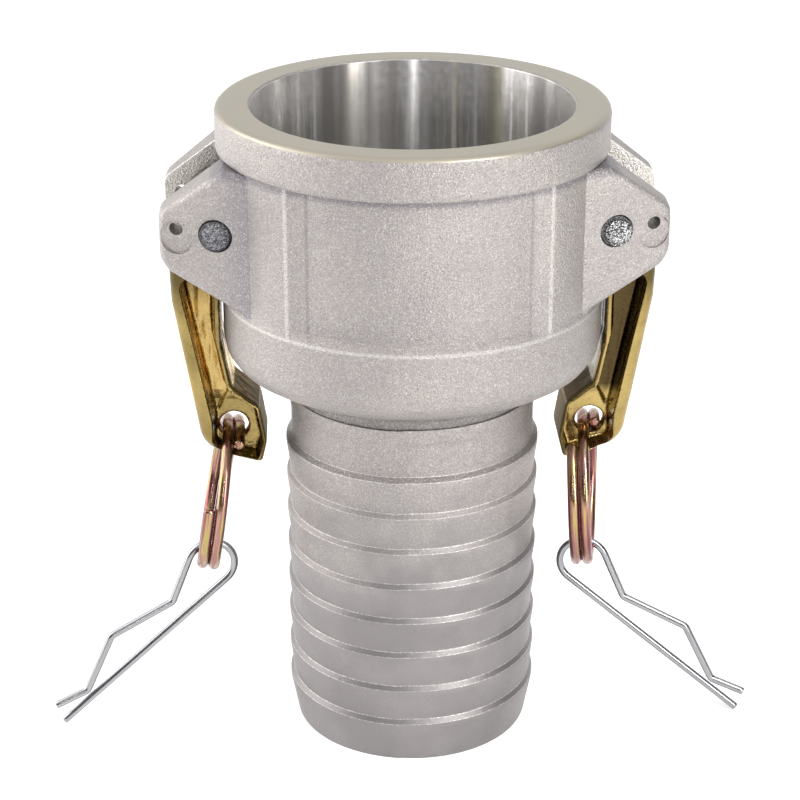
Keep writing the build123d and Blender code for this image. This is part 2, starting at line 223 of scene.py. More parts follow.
class StageSettings(bpy.types.PropertyGroup):
    """The floor, the lamps and the camera."""

    camera: FloatVectorProperty(name="Camera", description="Place of the camera", size=3, precision=4,
                                default=(-0.0191, -0.4229, 0.1414), subtype="TRANSLATION", unit="LENGTH")
    aim: FloatVectorProperty(name="Aim", description="Direction of view", size=3,
                             default=(0.036, 0.9164, -0.3986), subtype="DIRECTION")
    lens: FloatProperty(name="Lens", description="Focal length in millimetres", default=100.4, min=10)
    left_lamp: FloatProperty(name="Left lamp", description="Power of the left softbox", default=4.6, unit="POWER")
    right_lamp: FloatProperty(name="Right lamp", description="Power of the right softbox", default=5.0, unit="POWER")
    strip_lamp: FloatProperty(name="Strip lamp", description="Power of the narrow lamp", default=0.85, unit="POWER")
    room: FloatProperty(name="Room", description="Strength of the light from the camera's side", default=0.15, min=0)
    backdrop: FloatProperty(name="Backdrop", description="Strength of the light from behind", default=0.85, min=0)
    overhead: FloatProperty(name="Overhead", description="Strength of the light from above", default=1.15, min=0)


# Shapes


def placed(name, data):
    """An object with that mesh, lamp or camera, linked to the scene."""
    item = bpy.data.objects.new(name, data)
    bpy.context.scene.collection.objects.link(item)
    return item


def surface(name, points, close_rows=False, close_columns=True, poles=(False, False), zones=None):
    """Mesh on a grid of points: quads join neighbours, rows and columns may close on themselves.

    A pole closes the first or last row with a fan to that row's middle. zones gives each row of quads its slot.
    The UV map runs from 0 to 1 round the columns and from 0 to 1 along the rows.
    """
    rows, columns, _ = points.shape
    vertices = points.reshape(-1, 3)
    index = np.arange(rows * columns).reshape(rows, columns)
    if close_rows:
        index = np.vstack([index, index[:1]])
    if close_columns:
        index = np.hstack([index, index[:, :1]])
    quads = np.stack([index[:-1, :-1], index[:-1, 1:], index[1:, 1:], index[1:, :-1]], axis=-1)
    faces = quads.reshape(-1, 4).tolist()
    across = np.arange(quads.shape[1])[None, :, None] + np.array([0, 1, 1, 0])
    along = np.arange(quads.shape[0])[:, None, None] + np.array([0, 0, 1, 1])
    across, along = np.broadcast_arrays(across / quads.shape[1], along / quads.shape[0])
    corners = [np.stack([across, along], axis=-1).reshape(-1, 2)]
    for end in np.flatnonzero(poles):
        row = index[-end]
        middle = np.full(len(row) - 1, len(vertices))
        vertices = np.vstack([vertices, points[-end].mean(axis=0)])
        fan = (row[:-1], row[1:], middle) if end else (middle, row[1:], row[:-1])
        faces += np.stack(fan, axis=-1).tolist()
        step = np.arange(len(row) - 1)
        turn = (step, step + 1, step + 0.5) if end else (step + 0.5, step + 1, step)
        across = np.stack(turn, axis=-1).reshape(-1) / len(step)
        corners.append(np.stack([across, np.full(len(across), float(end))], axis=-1))
    mesh = bpy.data.meshes.new(name)
    mesh.from_pydata(vertices.tolist(), [], faces)
    mesh.uv_layers.new(name="surface").data.foreach_set("uv", np.vstack(corners).ravel())
    if zones is not None:
        slots = np.repeat(zones, quads.shape[1])
        mesh.polygons.foreach_set("material_index", np.pad(slots, (0, len(faces) - len(slots)), mode="edge"))
    mesh.shade_smooth()
    return placed(name, mesh)


def rounded(points, radii, arc_steps):
    """Polyline with its corners turned into arcs.

    At a corner that turns by t, an arc of radius r starts r tan(t/2) before it and ends as far after it.
    """
    points = np.asarray(points, float)
    straight = 0.02
    line = [points[:1]]
    for before, here, after, radius in zip(points, points[1:], points[2:], radii):
        into = (here - before) / np.linalg.norm(here - before)
        out = (after - here) / np.linalg.norm(after - here)
        turn = acos(np.clip(into @ out, -1, 1))
        if radius <= 0 or turn < straight:
            line.append(here[None])
            continue
        cut = radius * tan(turn / 2)
        inward = (out - into) / np.linalg.norm(out - into)
        centre = here + inward * radius / cos(turn / 2)
        first, last = here - into * cut - centre, here + out * cut - centre
        share = np.linspace(0, 1, arc_steps + 1)[:, None]
        line.append(centre + (first * np.sin((1 - share) * turn) + last * np.sin(share * turn)) / sin(turn))
    return np.vstack([*line, points[-1:]])


def divided(line, longest):
    """The same polyline with no step longer than the longest."""
    counts = np.maximum(np.ceil(np.linalg.norm(np.diff(line, axis=0), axis=1) / longest).astype(int), 1)
    run = np.repeat(np.diff(line, axis=0) / counts[:, None], counts, axis=0)
    place = np.arange(counts.sum()) - np.repeat(np.cumsum(counts) - counts, counts)
    return np.vstack([np.repeat(line[:-1], counts, axis=0) + run * place[:, None], line[-1:]])


def soft_max(a, b, reach):
    """The larger of two heights, blended where they differ by less than reach: mix + reach h (1 - h)."""
    share = np.clip(0.5 + 0.5 * (a - b) / reach, 0, 1)
    return b + (a - b) * share + reach * share * (1 - share)


def waves(u, v, seed, count=6, fastest=5.0):
    """Smooth irregularity between about -1 and 1: a sum of sines of u and v with seeded speeds and starts."""
    rng = np.random.default_rng(seed)
    total = 0
    for _ in range(count):
        a, b = rng.uniform(-fastest, fastest, 2)
        total = total + np.sin(np.round(a) * u + b * v + rng.uniform(0, FULL_TURN))
    return total / count


def tube(name, path, radius, sides):
    """Round wire along a path: each row is a circle square to the path, with slightly domed ends.

    A circle's two directions are the path's tangent crossed with Y, and the tangent crossed with that. The first
    and last point each give the dome's four rows, by their share of the radius and how far they lie from the end.
    """
    width, reach = np.array([0.3, 0.62, 0.86, 1.0]), np.array([0.0, 0.02, 0.1, 0.24])
    tangent = np.gradient(path, axis=0)
    tangent /= np.linalg.norm(tangent, axis=1)[:, None]
    side = np.cross(tangent, np.array([0.0, 1.0, 0.0]))
    side /= np.linalg.norm(side, axis=1)[:, None]
    turn = np.linspace(0, FULL_TURN, sides, endpoint=False)[None, :, None]
    ring = side[:, None] * np.cos(turn) + np.cross(tangent, side)[:, None] * np.sin(turn)
    first = path[0] + tangent[0] * (reach * radius)[:, None]
    last = path[-1] - tangent[-1] * (reach * radius)[::-1, None]
    rows = np.vstack([first, path[1:-1], last])
    ring = np.concatenate([np.repeat(ring[:1], 4, axis=0), ring[1:-1], np.repeat(ring[-1:], 4, axis=0)])
    widths = np.concatenate([width, np.ones(len(path) - 2), width[::-1]])
    return surface(name, rows[:, None] + ring * (radius * widths)[:, None, None], poles=(True, True))


def round_bar(name, start, end, radius, sides=48):
    """Closed level cylinder, used to cut a hole: a circle carried from one point to the other."""
    start, end = np.array(start, float), np.array(end, float)
    along = (end - start) / np.linalg.norm(end - start)
    up = np.array([0.0, 0.0, 1.0])
    turn = np.linspace(0, FULL_TURN, sides, endpoint=False)[:, None]
    ring = radius * (np.cross(up, along) * np.cos(turn) + up * np.sin(turn))
    return surface(name, np.stack([start + ring, end + ring]), poles=(True, True))


def modify(piece, kind, **settings):
    """Give a piece a modifier with those settings."""
    step = piece.modifiers.new(kind.lower(), kind)
    for name, value in settings.items():
        setattr(step, name, value)


def modified_mesh(piece):
    """A new mesh of the piece with its modifiers applied."""
    bpy.context.view_layer.update()
    return bpy.data.meshes.new_from_object(piece.evaluated_get(bpy.context.evaluated_depsgraph_get()))


def cut_and_join(piece, joined, cutters):
    """Join closed shells to a piece and cut others out of it, keep the result and remove the tools."""
    for operation, tools in (("UNION", joined), ("DIFFERENCE", cutters)):
        for tool in tools:
            modify(piece, "BOOLEAN", operation=operation, solver="MANIFOLD", object=tool)
    result = modified_mesh(piece)
    result.name = piece.name
    piece.modifiers.clear()
    piece.data = result
    for tool in (*joined, *cutters):
        bpy.data.objects.remove(tool)


def dress(piece, body, material, nodes):
    """Give a finished piece its material, the body that it rides on and the CAD nodes that it stands for."""
    if material:
        piece.data.materials.append(material)
    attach(piece, body)
    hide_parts(*nodes)


# Materials


class Recipe:
    """A node tree under construction, of a material or a world: each method adds nodes and gives their result."""

    def __init__(self, owner):
        owner.use_nodes = True
        self.owner, self.tree = owner, owner.node_tree
        self.tree.nodes.clear()

    def node(self, kind, inputs=(), **settings):
        """Add a node, set it, fill its inputs with values or links, and give its outputs."""
        made = self.tree.nodes.new("ShaderNode" + kind)
        for name, value in settings.items():
            setattr(made, name, value)
        for name, value in dict(inputs).items():
            if isinstance(value, bpy.types.NodeSocket):
                self.tree.links.new(value, made.inputs[name])
            else:
                made.inputs[name].default_value = value
        return made.outputs

    def maths(self, operation, *values):
        """Math on one value, or on several in turn."""
        if len(values) == 1:
            return self.node("Math", {0: values[0]}, operation=operation)[0]
        total, *others = values
        for value in others:
            total = self.node("Math", {0: total, 1: value}, operation=operation)[0]
        return total

    def product(self, *values):
        """The product of several values."""
        return self.maths("MULTIPLY", *values)

    def vector(self, x=0.0, y=0.0, z=0.0):
        """A vector from its three values."""
        return self.node("CombineXYZ", {"X": x, "Y": y, "Z": z})[0]

    def vector_maths(self, operation, output, *vectors):
        """Math on one vector or two, giving the output of that name or number."""
        return self.node("VectorMath", dict(enumerate(vectors)), operation=operation)[output]

    def noise(self, vector, scale, detail=3.0, roughness=0.55):
        """Fractal noise on a vector, with that many features in a metre."""
        values = {"Vector": vector, "Scale": scale, "Detail": detail, "Roughness": roughness}
        return self.node("TexNoise", values)["Fac"]

    def cells(self, scale):
        """Small random cells on the object: each cell's colour split in three, and the distance from its middle."""
        cells = self.node("TexVoronoi", {"Vector": self.place, "Scale": scale})
        return self.node("SeparateColor", {0: cells["Color"]}), cells["Distance"]

    def spread(self, value, low, high, to_low=0.0, to_high=1.0):
        """Map a value from one range to another, clamped."""
        values = {"Value": value, "From Min": low, "From Max": high, "To Min": to_low, "To Max": to_high}
        return self.node("MapRange", values)[0]

    def near(self, value, where, half_width, share):
        """A soft line where a value is near another: share in the middle, and nothing from half_width on."""
        off = self.maths("ABSOLUTE", self.maths("SUBTRACT", value, where))
        return self.spread(off, half_width * 0.4, half_width, share, 0)

    def mix(self, factor, a, b):
        """Mix two colours, each a link or a plain colour."""
        a, b = (tone if isinstance(tone, bpy.types.NodeSocket) else (*tone, 1) for tone in (a, b))
        return self.node("Mix", {0: factor, 6: a, 7: b}, data_type="RGBA")[2]

    def coats(self, base, *coats):
        """A colour with coats over it, each given as how far it covers and its colour."""
        for cover, tone in coats:
            base = self.mix(cover, base, tone)
        return base

    def bump(self, height, depth, strength=1.0):
        """A relief of that depth in millimetres."""
        return self.node("Bump", {"Height": height, "Distance": depth * MM, "Strength": strength})[0]

    def finished(self, base, metallic, roughness, relief, more=()):
        """The material, with its shader and output."""
        values = {"Base Color": base, "Metallic": metallic, "Roughness": roughness, "Normal": relief, **dict(more)}
        self.node("OutputMaterial", {"Surface": self.node("BsdfPrincipled", values)[0]})
        return self.owner


def new_material(name):
    """The recipe of an empty material, and the X, Y and Z of the place on the object in metres."""
    recipe = Recipe(bpy.data.materials.new(name))
    recipe.place = recipe.node("TexCoord")["Object"]
    return recipe, *recipe.node("SeparateXYZ", {0: recipe.place})


def toned(tone, share):
    """A colour made lighter or darker."""
    return [min(1, value * share) for value in tone]


def cast_material(finish, body, name, tone=1.0, shine=0.0):
    """Sand cast aluminium: a fine grain of dark pits and bright facets under a soft sheen, with faint smudges.

    The shank is smoother and darker. Painted shade lies under the rim's overhang, along the inner corner between each
    sloping strip and its panel, and on the left ears next to their corners with the wall; painted highlights lie along
    the panels' outer edges and the band's top edge, and the faces in the ears' gap are painted bright as painted light.
    tone makes the whole lighter for the barbs' crests, which show wear and painted highlights, and for the painted
    highlights at the barbs' roots, and darker for the painted shade in the neck's groove and for the barbs' ledges;
    shine makes it smoother.
    """
    m, side, depth, height = new_material(name)
    away, off_plane = m.maths("ABSOLUTE", side), m.maths("ABSOLUTE", depth)
    under_rim, corner, edge = body.top - body.rim_band, ear_corner(body), 0.1 * MM
    below_rim = m.spread(height, under_rim, under_rim + edge, 1, 0)
    ear_high = m.product(m.spread(height, -17 * MM, -16.5 * MM), below_rim)
    above_band = m.spread(height, body.band_top, body.band_top + MM)
    on_panels = m.product(m.spread(off_plane, 26 * MM, 27 * MM), below_rim, above_band)
    # Painted shadow under the rim's overhang.
    under_rim_shadow = m.product(m.spread(height, under_rim - 2 * MM, under_rim - MM), below_rim)
    # Painted shade on the left ears, deepening towards their corners with the wall.
    toward_left_corner = m.spread(side, -corner - 7 * MM, -corner, 0, 0.6)
    beside = m.product(toward_left_corner, m.spread(side, -corner, edge - corner, 1, 0), ear_high)
    in_gap = m.spread(off_plane, body.ear_gap + edge, body.ear_gap + 0.35 * MM, 0.9, 0)
    past_wall = m.spread(away, body.wall_radius + 0.3 * MM, body.wall_radius + 0.7 * MM)
    # Painted shade along the inner corner between each sloping strip and its panel.
    painted_fold_shade = m.product(m.near(away, body.panel_half - body.panel_run, 0.45 * MM, 0.45), on_panels)
    # Painted highlight along each panel's outer edge.
    painted_ridge_highlight = m.product(m.near(away, body.panel_half - edge, 0.5 * MM, 0.4), on_panels)
    # Painted highlight along the band's top edge.
    painted_band_highlight = m.product(m.near(height, body.band_top + edge, 0.4 * MM, 0.35), m.spread(away, 37 * MM, 38 * MM, 1, 0))

    smudge = m.noise(m.place, 45, 3.0, 0.6)
    grain, coarse = m.noise(m.place, 3600, 2.0, 0.6), m.noise(m.place, 1900, 2.0)
    (dark_cell, bright_cell, _), _ = m.cells(5400)
    ragged = m.node("Math", {0: smudge, 1: 60 * MM, 2: height}, operation="MULTIPLY_ADD")[0]
    shank = m.spread(ragged, body.neck - 6 * MM, body.neck + 16 * MM, 1, 0)
    smooth = m.mix(m.spread(smudge, 0.4, 0.62), toned(finish.shank, 0.84), finish.shank)
    pits = m.product(m.spread(dark_cell, 0.1, 0.34, 0.5, 0), m.spread(shank, 0, 1, 1, 0.35))
    if tone > 1:
        facets = m.spread(coarse, 0.46, 0.62, 0, 0.45)
    else:
        facets = m.product(m.spread(bright_cell, 0.78, 0.96, 0, 0.26), m.spread(shank, 0, 1, 1, 0))
    base = m.coats(
        m.mix(m.spread(smudge, 0.35, 0.7), toned(finish.casting_shade, tone), toned(finish.casting, tone)),
        (shank, smooth if tone == 1 else toned(finish.shank, tone)),
        (m.spread(under_rim_shadow, 0, 1, 0, 0.75), finish.casting_pit_and_shade),
        (beside, finish.ear_shade),
        (painted_fold_shade, finish.casting_pit_and_shade),
        (painted_ridge_highlight, finish.painted_highlight),
        (painted_band_highlight, finish.painted_highlight),
        # The faces in the ears' gap are painted bright as painted light.
        (m.product(in_gap, past_wall, ear_high), finish.painted_highlight),
        (pits, toned(finish.casting_pit_and_shade, tone)),
        (facets, finish.casting_facet),
    )
    rough = m.spread(bright_cell, 0.2, 0.95, 0.5 - shine, 0.36 - shine / 2)
    relief = m.product(m.maths("ADD", coarse, grain), m.spread(shank, 0, 1, 1, 0.3))
    return m.finished(base, 0.88, rough, m.bump(relief, 0.2, 1.0 - shine))


def machined_material(finish):
    """Lathe turned aluminium of the rim: fine rings and a soft shine."""
    m, x, y, z = new_material("machined_aluminium")
    radius = m.vector_maths("LENGTH", "Value", m.vector(x, y))
    rings = m.noise(m.vector(x=radius, z=z), 5200, 2.0)
    cloud = m.noise(m.place, 60)
    base = m.mix(m.spread(cloud, 0.3, 0.7), toned(finish.machined, 0.92), finish.machined)
    return m.finished(base, 0.85, m.spread(cloud, 0.3, 0.7, 0.34, 0.44), m.bump(rings, 0.01, 0.4))


def bore_material(finish):
    """Bored socket wall: fine turning lines round the bore draw its reflections out into upright streaks.

    The wall is painted lighter towards the mouth, as painted light. Upright stripes and lines of painted reflection,
    bright and dark, are given by their angle round the bore, half their width, how far they cover the wall and their
    colour.
    """
    m, x, y, z = new_material("bored_aluminium")
    turn = m.maths("ARCTAN2", y, x)
    turning = m.noise(m.vector(z=z), 3800, 3.0, 0.7)
    upright = m.vector(x=turn, z=z)
    streak, tint = m.noise(upright, 12.0, 5.0, 0.8), m.noise(upright, 2.2, 1.0)
    olive, painted_light_near_mouth, shade = (0.3, 0.28, 0.17), (1, 0.98, 0.97), finish.bore_shade
    # Painted reflections: upright lines and stripes, bright and dark, at fixed angles round the bore.
    painted_reflections = (
        (121, 4.0, 0.8, shade), (112.5, 7.0, 0.85, (0.3, 0.285, 0.26)), (106, 4.6, 0.9, (0.17, 0.165, 0.155)),
        (95, 2.5, 0.5, shade), (71.6, 1.3, 1.0, (1, 0.95, 0.86)), (63, 0.9, 0.9, WHITE),
        (55, 5.0, 0.6, (0.36, 0.34, 0.2)), (47.6, 0.9, 0.9, WHITE), (40, 1.0, 0.9, WHITE),
        (33, 5.0, 0.7, shade), (127, 0.9, 0.9, WHITE), (135, 1.0, 0.8, (1, 0.98, 0.94)),
    )
    base = m.coats(
        shade,
        (m.spread(streak, 0.36, 0.64), finish.bore),
        (m.spread(tint, 0.55, 0.72, 0, 0.4), olive),
        # Painted light: the wall lighter towards the mouth.
        (m.spread(z, 8 * MM, 16 * MM, 0, 0.75), painted_light_near_mouth),
        (m.spread(turning, 0.3, 0.55, 0.35, 0), shade),
        *((m.near(turn, radians(middle), radians(half), share), tone) for middle, half, share, tone in painted_reflections),
        (m.spread(m.noise(m.place, 700, 3.0, 0.7), 0.35, 0.65, 0.35, 0), shade),
    )
    tangent = m.node("Tangent", direction_type="RADIAL", axis="Z")[0]
    drawn_out = {"Anisotropic": 1.0, "Anisotropic Rotation": 0.25, "Tangent": tangent}
    return m.finished(base, 0.8, m.spread(turning, 0.3, 0.7, 0.22, 0.28), m.bump(turning, 0.006, 0.4), drawn_out)


def brass_material(finish, arm, name, brass, web_tone, crumpling):
    """Forged brass: golden and shiny, with gentle ripples; the handle's web has a tone of its own and long creases.

    The web is where the surface lies near the arm's middle plane, above the foot. Its tone is given per arm, as painted
    light on the left arm and painted shade on the right, and its walls are painted lighter. Fine spots of darkened
    brass lie at random. Painted shade lies at the head, under the ear, and on the foot's inner side: near the shank
    (the sole) and on the shank's side of a slanting plane (the cheek).
    """
    m, x, y, z = new_material(name)
    from_axis, across = m.maths("ABSOLUTE", x), m.maths("ABSOLUTE", y)
    near_web = m.spread(across, arm.web_half + 3.8 * MM, arm.web_half + 4.6 * MM, 1, 0)
    web = m.product(near_web, m.spread(z, -41 * MM, -39 * MM))
    wall = m.spread(across, arm.web_half + 0.4 * MM, arm.web_half + MM, 0, 0.9)
    # Painted shade on the foot's inner side: the sole next to the shank and the cheek.
    sole = m.spread(from_axis, 31.2 * MM, 31.6 * MM, 0.6, 0)
    slant = m.vector_maths("DOT_PRODUCT", "Value", m.vector(x=from_axis, z=z), (-0.649, 0, 0.762))
    below_knee = m.spread(z, -36.8 * MM, -36.4 * MM, 1, 0)
    cheek = m.product(m.spread(slant, -51.95 * MM, -51.75 * MM, 0, 0.8), below_knee)
    inner = m.maths("MAXIMUM", sole, cheek)
    cloud, fine = m.noise(m.place, 110, 3.0, 0.6), m.noise(m.place, 1500, 3.0, 0.6)
    base = m.coats(
        m.mix(m.spread(cloud, 0.35, 0.68), brass, toned(brass, 1.5)),
        (m.spread(fine, 0.58, 0.78, 0, 0.4), finish.patina_and_shade),
        # The web's tone, painted light on the left arm and painted shade on the right.
        (web, m.mix(wall, web_tone, toned(web_tone, 1.9))),
        # Painted shade at the head, under the ear.
        (m.spread(z, -21 * MM, -14 * MM, 0, 0.85), finish.patina_and_shade),
        (inner, toned(finish.patina_and_shade, 2)),
    )
    rough = m.maths("ADD", m.spread(fine, 0.35, 0.7, 0.18, 0.32), m.spread(inner, 0, 0.6, 0, 0.35))
    drawn_out = m.node("Mapping", {"Vector": m.place, "Scale": (1, 1, 0.22)})[0]
    creases = m.product(m.noise(drawn_out, 360, 1.5, 0.5), web)
    ripples = m.product(m.noise(m.place, 420), 0.15)
    return m.finished(base, 1.0, rough, m.bump(m.maths("ADD", ripples, creases), crumpling))


def along_wire(m, stretch):
    """A vector on a wire's own surface: a circle round it and its length, so that a noise on it runs along the wire."""
    round_share, length_share, _ = m.node("SeparateXYZ", {0: m.node("UVMap", uv_map="surface")[0]})
    around = m.product(round_share, FULL_TURN)
    return m.vector(m.maths("COSINE", around), m.maths("SINE", around), m.product(length_share, stretch))


def ring_material(finish):
    """Passivated steel wire: rose and copper, with streaks of yellow, green and plum along the wire."""
    m, *_ = new_material("passivated_ring_steel")
    ramp = m.tree.nodes.new("ShaderNodeValToRGB")
    m.tree.links.new(m.noise(along_wire(m, 9.0), 1.1, 3.0, 0.6), ramp.inputs["Fac"])
    stops = ((0.3, finish.ring_plum), (0.42, finish.ring_copper), (0.52, finish.ring_rose), (0.6, finish.ring_gold),
             (0.68, finish.ring_rose))
    for _ in stops[2:]:
        ramp.color_ramp.elements.new(0.5)
    for element, (where, tone) in zip(ramp.color_ramp.elements, stops):
        element.position, element.color = where, (*tone, 1)
    rough = m.spread(m.noise(m.place, 1500, 2.0), 0.3, 0.7, 0.16, 0.28)
    return m.finished(ramp.outputs[0], 1.0, rough, m.bump(m.noise(m.place, 600), 0.05, 0.5))


def clip_material(finish):
    """Bright zinc on spring wire, with faint drawing marks along it."""
    m, *_ = new_material("zinc_clip_steel")
    drawn = m.noise(along_wire(m, 4.0), 2.4)
    base = m.mix(m.spread(drawn, 0.35, 0.65), finish.zinc_shade, finish.zinc)
    relief = m.bump(m.noise(m.place, 2600, 2.0), 0.012, 0.5)
    dull_edges = {"Specular Tint": (0.45, 0.46, 0.48, 1)}
    return m.finished(base, 1.0, m.spread(drawn, 0.3, 0.7, 0.2, 0.3), relief, dull_edges)


def pin_material(finish, name, pin, side, shine):
    """Peened steel: small bright and dark dimples, with painted shade round the spread dome; shine scales the bright
    ones.
    """
    m, *_ = new_material(name)
    (tone, *_), from_middle = m.cells(5200)
    shift = pin.dome_shift if side > 0 else 0
    off = m.vector_maths("ADD", 0, m.place, (-side * pin.pivot_x - shift, 0, shift))
    off = m.vector_maths("LENGTH", "Value", m.vector_maths("MULTIPLY", 0, off, (1, 0, 1)))
    base = m.coats(
        toned(finish.steel, 0.3),
        (m.spread(tone, 0.45, 1.0), toned(finish.steel, shine)),
        # Painted shade in a thin ring round the spread dome.
        (m.spread(off, pin.dome_radius - 0.1 * MM, pin.dome_radius + 0.1 * MM, 0, 0.7), (0.05, 0.05, 0.055)),
    )
    return m.finished(base, 1.0, m.spread(tone, 0.0, 1.0, 0.2, 0.4), m.bump(from_middle, 0.14))


def rubber_material(finish):
    """Matt black rubber with a fine moulded skin."""
    m, *_ = new_material("nitrile_rubber")
    skin = m.noise(m.place, 1500)
    base = m.mix(m.spread(m.noise(m.place, 180), 0.35, 0.65), finish.rubber, toned(finish.rubber, 2.2))
    return m.finished(base, 0.0, m.spread(skin, 0.3, 0.7, 0.5, 0.68), m.bump(skin, 0.03, 0.6))


# Pieces


def body_rows(s):
    """The casting's outline as (radius, height) rows, and each row's zone.

    The rows run up the outside from the foot, over the rim, and down the inside back to the foot. Each corner of
    the outline is given as its radius, its height and its rounding.
    """
    under_rim, tiny, fine = s.top - s.rim_band, 0.12 * MM, 0.1 * MM
    corners = [(s.waterway_radius + 0.5 * MM, -s.foot, 0), (s.end_radius, -s.foot, 0.35 * MM)]
    for number in reversed(range(s.barbs)):
        crest = s.first_barb - number * s.barb_pitch
        root = s.barb_root if number else s.shank_radius
        corners += [
            (s.barb_radius, crest - s.barb_land, 0.25 * MM),
            (s.barb_radius, crest, 0.22 * MM),
            (root, crest + s.barb_rise, 0.3 * MM),
            (root, crest + s.barb_rise + 0.5 * MM, 0),
        ]
    corners += [
        (s.shank_radius, s.collar - s.collar_height, tiny),
        (s.collar_radius, s.collar - s.collar_height, tiny),
        (s.collar_radius, s.collar, tiny),
        (s.neck_radius, s.collar, tiny),
        (s.neck_radius, s.neck, 2 * MM),
        (s.band_radius, s.shoulder, 6.4 * MM),
        (s.band_radius, s.band_top, 0.4 * MM),
        (s.wall_radius, s.band_top + s.band_ledge, 0.4 * MM),
        (s.wall_radius, under_rim - 0.7 * MM, 0),
        (s.wall_radius, under_rim, fine),
        (s.rim_radius, under_rim, 0.6 * MM),
        (s.rim_radius, s.top, s.rim_round),
        (s.bore_radius + 0.35 * MM, s.top, 0.15 * MM),
        (s.bore_radius, s.top - 0.35 * MM, 0.15 * MM),
        (s.bore_radius, s.groove_top, fine),
        (s.groove_radius, s.groove_top, fine),
        (s.groove_radius, s.seat, fine),
        (s.throat_radius, s.seat, 0.3 * MM),
        (s.waterway_radius, s.throat, 0.5 * MM),
        (s.waterway_radius, -s.foot + 0.5 * MM, fine),
        (s.waterway_radius + 0.5 * MM, -s.foot, 0),
    ]
    corners = np.array(corners)
    line = rounded(corners[:, :2], corners[1:-1, 2], 3)
    first_inner = int(np.argmax((line[:, 0] < s.bore_radius + 0.7 * MM) & (line[:, 1] > 0)))
    outer = divided(line[: first_inner + 1], 1.1 * MM)
    rows = np.vstack([outer, divided(line[first_inner:], 6.0 * MM)[1:-1]])
    height, number = rows[:, 1], np.arange(len(rows))
    outside = number < len(outer)
    above_crest = (height - s.first_barb + 0.15 * MM) % s.barb_pitch - fine
    last_barb = s.first_barb - (s.barbs - 1) * s.barb_pitch
    on_shank = outside & (height < s.first_barb + 2 * s.barb_rise) & (height > last_barb - 0.3 * MM)
    zones = np.full(len(rows), CAST)
    for zone, rows_in_it in (
        (TURNED, outside & (height > s.top - s.rim_round * 0.75)),
        (BORED, (number >= len(outer) + 3) & (height > s.seat - MM)),
        (TURNED, ~outside & (height <= s.seat)),
        (LEDGE, on_shank & (above_crest < s.barb_rise)),
        # Barb crests show wear and carry painted highlights.
        (WORN_AND_HIGHLIT, on_shank & (above_crest < fine)),
        # Painted highlights at the barbs' roots.
        (WORN_AND_HIGHLIT, on_shank & (np.abs(above_crest - s.barb_rise) < fine)),
        # Painted shade in the neck's groove.
        (NECK_SHADE, outside & (height > s.collar - fine) & (height < s.neck + fine)),
    ):
        zones[rows_in_it] = zone
    return rows, zones


def body_points(s, rows, turn):
    """The casting: each outline row (r, z) turned about Z, then changed where the casting isn't round.

    On the front and back the wall's radius is the larger of the panel's radius and the smaller of the wall's and
    of a flat strip's, n.p = c in polar form. Low waves and a small step at the mould's parting are added outside.
    """
    radius, height = rows[:, :1] + 0 * turn, rows[:, 1:] + 0 * turn
    off_axis = np.arctan2(np.abs(np.cos(turn)), np.abs(np.sin(turn)))
    outer_y = (s.wall_radius**2 - s.panel_half**2) ** 0.5
    near, far = (s.panel_half - s.panel_run, outer_y + s.panel_rise), (s.panel_half, outer_y)
    normal = np.array([far[1] - near[1], near[0] - far[0]])
    normal = -normal / np.linalg.norm(normal)
    strip = (normal @ np.array(near)) / (normal[0] * np.sin(off_axis) + normal[1] * np.cos(off_axis))
    strip = np.where(off_axis < atan2(normal[0], normal[1]), 0, strip)
    sill = np.clip((s.band_top + s.band_ledge - height) / (s.band_ledge + 0.5 * MM), 0, 1)
    panel = s.wall_radius - s.panel_depth + sill * (s.band_radius - s.wall_radius + s.panel_depth + 0.5 * MM)
    lowered = -soft_max(-radius, -soft_max(panel, strip, 0.25 * MM), 0.2 * MM)
    number, row_radius, row_height = np.arange(len(rows))[:, None], rows[:, :1], rows[:, 1:]
    outside = number < int(np.argmax(rows[:, 1]))
    on_wall = outside & (row_height < s.top - s.rim_band + 0.01 * MM) & (row_height > s.band_top - 0.3 * MM)
    radius = np.where(on_wall & (row_radius < s.wall_radius + 0.5 * MM), lowered, radius)
    cast = outside & (row_height < s.top - s.rim_round) & (number > 3)
    low = 0.045 * MM * waves(turn, height / (6 * MM), 3) - 0.03 * MM
    radius = radius + np.where(cast, low, 0)
    parting, blend = 0.12, 0.02
    mould_half = np.tanh(np.sin(turn + pi / 2 + parting) / blend)
    step = 0.09 * MM * mould_half + 0.07 * MM * waves(turn, height / (9 * MM), 8)
    height = height + np.where(cast & (height < s.neck), step, 0)
    return np.stack([radius * np.cos(turn), radius * np.sin(turn), height], axis=-1)


def ear_corner(s):
    """Where the ears' outer faces leave the wall: the first x at which the plane lies outside the wall's circle."""
    x = np.linspace(28 * MM, 37 * MM, 900)
    plane = s.ear_tip_half + tan(s.ear_flare) * (s.ear_tip - x)
    return float(x[np.argmax(plane > np.sqrt(s.wall_radius**2 - x**2))])


